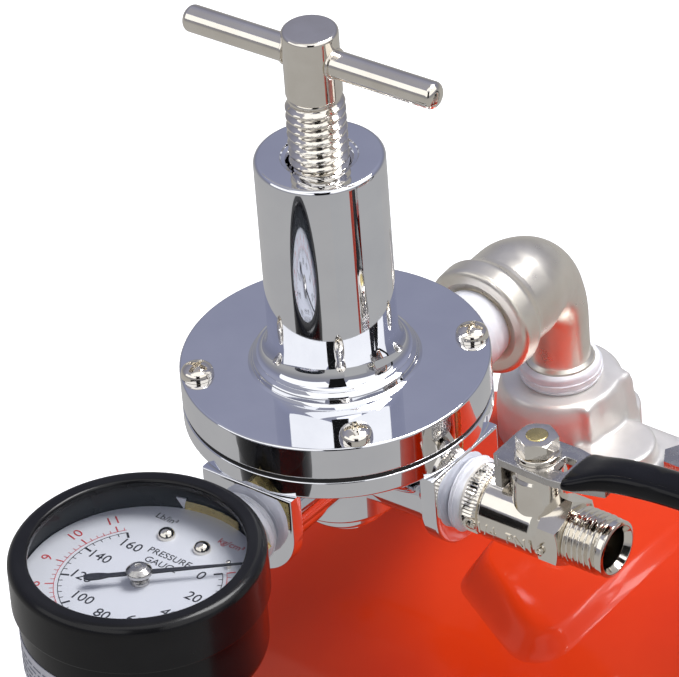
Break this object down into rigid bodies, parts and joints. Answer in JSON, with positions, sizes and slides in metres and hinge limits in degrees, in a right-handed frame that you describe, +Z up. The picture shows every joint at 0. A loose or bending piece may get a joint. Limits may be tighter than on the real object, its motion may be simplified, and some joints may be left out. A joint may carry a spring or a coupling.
{
  "type": "airbrush compressor",
  "caption": "Small air compressor for airbrush work: piston pump and motor on a lying red tank, with a T-handle pressure regulator, gauge and ball valve.",
  "frame": {"origin": "middle of the object's footprint on the floor plane, at the underside of the rubber feet", "axes": "+X along the tank from the regulator end to the motor end, +Y away from the gauge, +Z up"},
  "size_m": [0.435, 0.2432, 0.382],
  "materials": {
    "chrome": "mirror chrome plating",
    "nickel": "bright nickel plating",
    "satin_nickel": "satin nickel on cast fitting",
    "cast_metal": "bead-blasted casting",
    "steel": "plain steel",
    "brass": "turned brass",
    "red_paint": "glossy orange-red enamel",
    "black_paint": "gloss black enamel",
    "grip_vinyl": "dipped black vinyl",
    "black_plastic": "moulded plastic",
    "red_plastic": "moulded plastic",
    "rubber": "moulded rubber",
    "white_seal": "white sealing tape and rings",
    "dial_white": "white dial enamel",
    "clear_window": "clear window",
    "copper": "drawn copper"
  },
  "bodies": {
    "frame": {"tank_shell": "red_paint", "tank_feet": "red_paint", "rubber_feet": "rubber", "crest_pad": "red_paint", "pump_plate": "red_paint", "manifold": "cast_metal", "inlet_elbow": "satin_nickel", "pipe_nipple": "satin_nickel", "thread_tapes": "white_seal", "regulator_body": "chrome", "diaphragm": "rubber", "bonnet": "chrome", "flange_screws": "nickel", "bottom_cap": "chrome", "port_plug": "brass", "main_spring": "steel", "poppet_spring": "steel", "gauge_case": "black_paint", "gauge_bezel": "black_paint", "gauge_lens": "clear_window", "gauge_dial": "dial_white", "gauge_socket": "brass", "bourdon_tube": "brass", "dial_screws": "nickel", "valve_body": "nickel", "valve_outlet": "nickel", "valve_seats": "white_seal", "drain_body": "brass", "safety_valve": "brass", "rubber_mounts": "rubber", "crankcase": "cast_metal", "cylinder": "cast_metal", "cylinder_head": "cast_metal", "hex_bolts": "steel", "motor_casing": "black_paint", "end_cover": "black_plastic", "stator": "copper", "motor_bearings": "steel", "intake_filter": "black_plastic", "delivery_tube": "copper", "pressure_switch": "black_plastic", "carry_handle": "black_paint"},
    "spring_seat": {"spring_button": "steel"},
    "tee_handle": {"adjusting_screw": "nickel", "tee_bar": "nickel"},
    "valve_train": {"diaphragm_plate": "steel", "poppet": "brass"},
    "pointer": {"gauge_pointer": "black_paint"},
    "lever": {"valve_ball": "chrome", "valve_stem": "brass", "stem_nut": "nickel", "valve_lever": "steel", "lever_grip": "grip_vinyl"},
    "drain": {"drain_tap": "brass"},
    "relief_pull": {"safety_ring": "steel"},
    "rotor": {"motor_rotor": "steel", "crank": "steel", "cooling_fan": "black_plastic"},
    "piston": {"piston": "cast_metal"},
    "knob": {"switch_knob": "red_plastic"}
  },
  "joints": [
    {"name": "adjust_travel", "type": "slide", "parent": "frame", "child": "spring_seat", "axis": [0, 0, -1], "range_m": [0, 0.012], "deforming": ["main_spring"]},
    {"name": "tee_turn", "type": "hinge", "parent": "spring_seat", "child": "tee_handle", "pos_m": [-0.1475, -0.02285, 0.345], "axis": [0, 0, -1], "range_deg": [0, 1920]},
    {"name": "poppet_lift", "type": "slide", "parent": "frame", "child": "valve_train", "axis": [0, 0, -1], "range_m": [0, 0.001], "stiffness_N_per_m": 800, "deforming": ["poppet_spring", "diaphragm"]},
    {"name": "pointer_sweep", "type": "hinge", "parent": "frame", "child": "pointer", "pos_m": [-0.1475, -0.09395, 0.272], "axis": [0, 0, -1], "range_deg": [0, 264]},
    {"name": "lever_turn", "type": "hinge", "parent": "frame", "child": "lever", "pos_m": [-0.0941, -0.02285, 0.275], "axis": [0, 0, 1], "range_deg": [-90, 0]},
    {"name": "drain_turn", "type": "hinge", "parent": "frame", "child": "drain", "pos_m": [0, 0.02655, 0.0195], "axis": [0, 1, 0], "range_deg": [0, 90]},
    {"name": "relief_lift", "type": "slide", "parent": "frame", "child": "relief_pull", "axis": [0, 0, 1], "range_m": [0, 0.003], "stiffness_N_per_m": 1500},
    {"name": "rotor_spin", "type": "hinge", "parent": "frame", "child": "rotor", "pos_m": [0.0245, 0.02655, 0.281], "axis": [1, 0, 0], "continuous": true},
    {"name": "piston_stroke", "type": "slide", "parent": "frame", "child": "piston", "axis": [0, 0, 1], "range_m": [-0.014, 0]},
    {"name": "switch_pull", "type": "slide", "parent": "frame", "child": "knob", "axis": [0, 0, 1], "range_m": [0, 0.005]}
  ],
  "couplings": [
    {"joint": "tee_turn", "follows": "adjust_travel", "rad_per_m": 2792.5}
  ]
}
